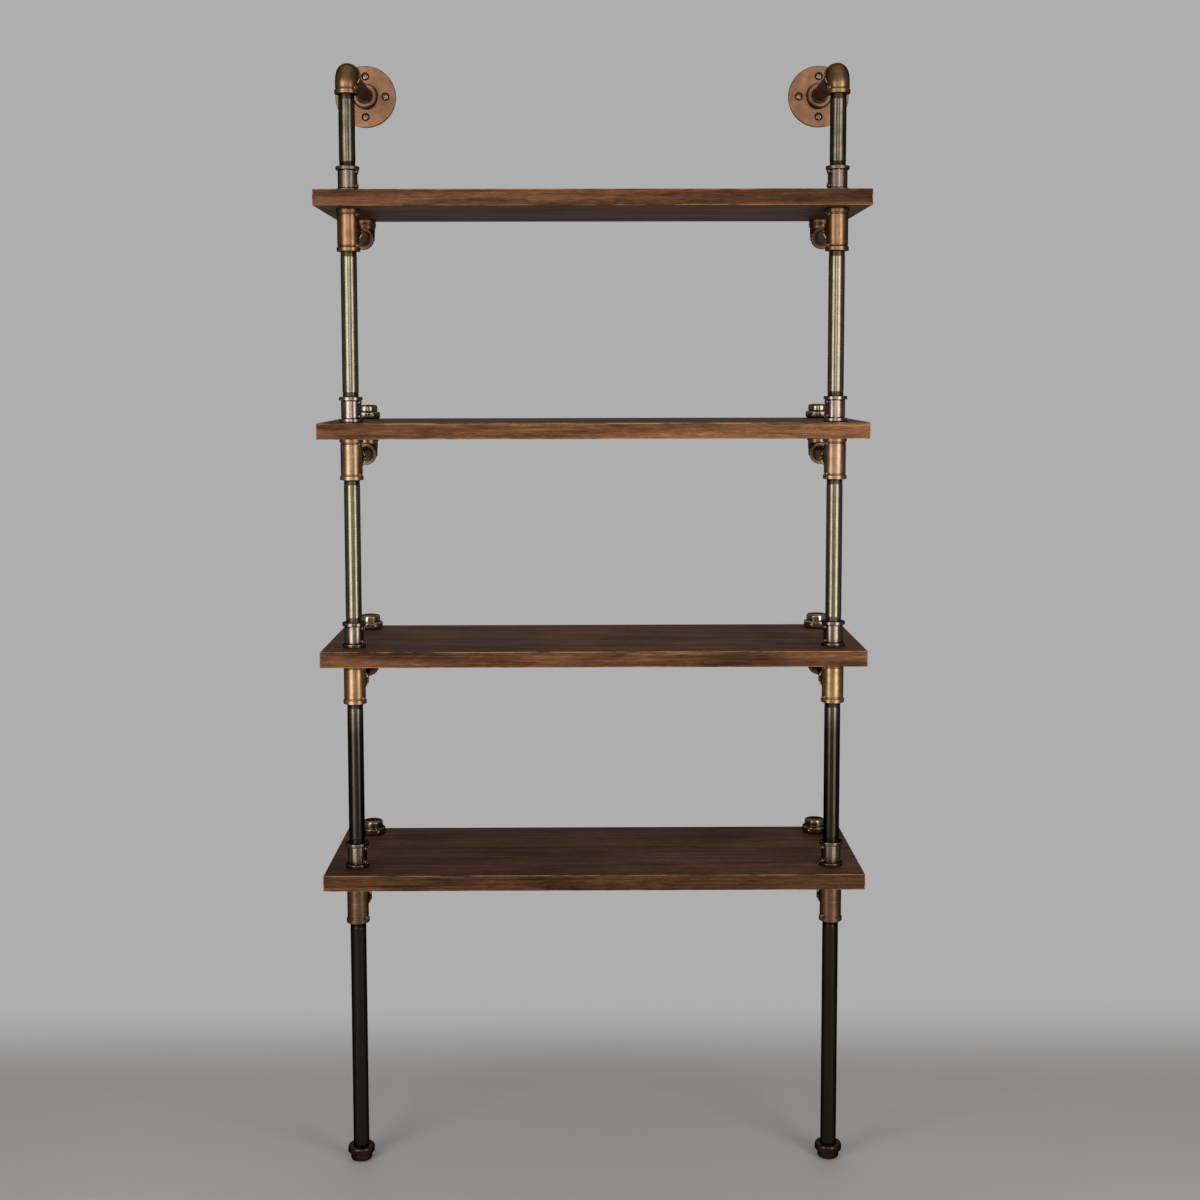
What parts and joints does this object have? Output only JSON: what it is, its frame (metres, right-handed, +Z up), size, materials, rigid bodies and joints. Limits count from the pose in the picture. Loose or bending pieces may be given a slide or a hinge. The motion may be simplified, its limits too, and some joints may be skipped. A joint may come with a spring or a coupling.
{
  "type": "etagere bookcase",
  "caption": "Open etagere bookcase with plank shelves on banded pipe posts, each shelf on pipe brackets, tied back to the wall by arms with round flanges.",
  "frame": {"origin": "on the floor, under the middle of the box round the whole piece, whose back is the wall's face", "axes": "+Z up, -Y to the front (the open side), +Y to the wall, +X to the right as seen from the front"},
  "size_m": [0.866, 0.292, 1.795],
  "materials": {
    "dark_walnut": "satin dark walnut stain, lighter along worn edges",
    "gunmetal_pipe": "polished gunmetal with an olive bronze cast",
    "antique_copper": "antique copper, glossy, near black in the hollows",
    "aged_nickel": "aged nickel copper, glossy"
  },
  "bodies": {
    "root": {"bottom_shelf": "dark_walnut", "bottom_shelf_arms": "gunmetal_pipe", "bottom_shelf_left_collar": "aged_nickel", "bottom_shelf_left_elbow": "antique_copper", "bottom_shelf_left_tee": "antique_copper", "bottom_shelf_nipples": "gunmetal_pipe", "bottom_shelf_rear_caps": "antique_copper", "bottom_shelf_right_collar": "aged_nickel", "bottom_shelf_right_elbow": "antique_copper", "bottom_shelf_right_tee": "antique_copper", "left_foot_cap": "antique_copper", "left_post_pipe_1": "gunmetal_pipe", "left_post_pipe_2": "gunmetal_pipe", "left_post_pipe_3": "gunmetal_pipe", "left_post_pipe_4": "gunmetal_pipe", "left_post_pipe_5": "gunmetal_pipe", "left_top_elbow": "antique_copper", "left_wall_arm": "gunmetal_pipe", "left_wall_flange": "antique_copper", "lower_shelf": "dark_walnut", "lower_shelf_arms": "gunmetal_pipe", "lower_shelf_left_collar": "aged_nickel", "lower_shelf_left_elbow": "antique_copper", "lower_shelf_left_tee": "antique_copper", "lower_shelf_nipples": "gunmetal_pipe", "lower_shelf_rear_caps": "antique_copper", "lower_shelf_right_collar": "aged_nickel", "lower_shelf_right_elbow": "antique_copper", "lower_shelf_right_tee": "antique_copper", "right_foot_cap": "antique_copper", "right_post_pipe_1": "gunmetal_pipe", "right_post_pipe_2": "gunmetal_pipe", "right_post_pipe_3": "gunmetal_pipe", "right_post_pipe_4": "gunmetal_pipe", "right_post_pipe_5": "gunmetal_pipe", "right_top_elbow": "antique_copper", "right_wall_arm": "gunmetal_pipe", "right_wall_flange": "antique_copper", "top_shelf": "dark_walnut", "top_shelf_arms": "gunmetal_pipe", "top_shelf_left_collar": "aged_nickel", "top_shelf_left_elbow": "antique_copper", "top_shelf_left_tee": "antique_copper", "top_shelf_nipples": "gunmetal_pipe", "top_shelf_rear_caps": "antique_copper", "top_shelf_right_collar": "aged_nickel", "top_shelf_right_elbow": "antique_copper", "top_shelf_right_tee": "antique_copper", "upper_shelf": "dark_walnut", "upper_shelf_arms": "gunmetal_pipe", "upper_shelf_left_collar": "aged_nickel", "upper_shelf_left_elbow": "antique_copper", "upper_shelf_left_tee": "antique_copper", "upper_shelf_nipples": "gunmetal_pipe", "upper_shelf_rear_caps": "antique_copper", "upper_shelf_right_collar": "aged_nickel", "upper_shelf_right_elbow": "antique_copper", "upper_shelf_right_tee": "antique_copper"}
  },
  "joints": []
}
